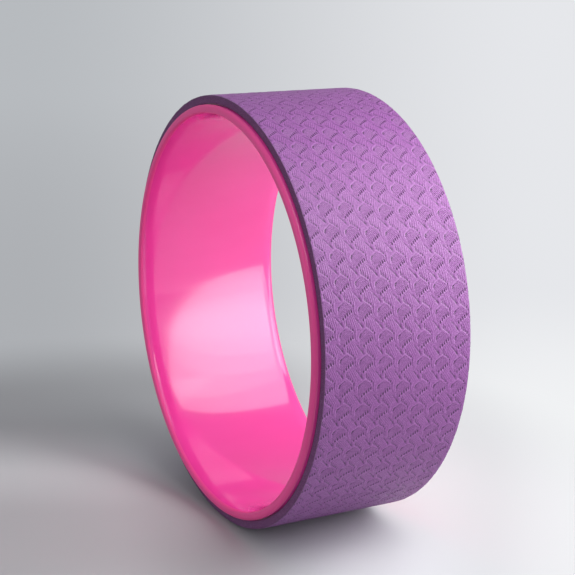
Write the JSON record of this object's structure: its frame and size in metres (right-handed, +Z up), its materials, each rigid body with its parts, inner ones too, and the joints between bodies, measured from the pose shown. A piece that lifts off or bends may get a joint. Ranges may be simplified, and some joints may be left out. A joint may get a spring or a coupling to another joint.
{
  "type": "yoga wheel",
  "caption": "Wide plastic ring with flared, rounded mouths and an embossed foam mat bonded round its tread, for stretching and balance exercise.",
  "frame": {"origin": "centre of the wheel, on its axis and midway between its two lips", "axes": "+Y along the wheel's axis, +Z up when the wheel stands on its tread"},
  "size_m": [0.33, 0.125, 0.33],
  "materials": {
    "ring_plastic": "glossy moulded pink plastic",
    "adhesive": "translucent adhesive film",
    "mat_base_foam": "dark purple closed-cell foam, cut edge",
    "mat_top_foam": "matt purple foam, embossed with ribbed scales"
  },
  "bodies": {
    "root": {"inner_ring": "ring_plastic", "adhesive_film": "adhesive", "mat_base_layer": "mat_base_foam", "mat_top_layer": "mat_top_foam"}
  },
  "joints": []
}
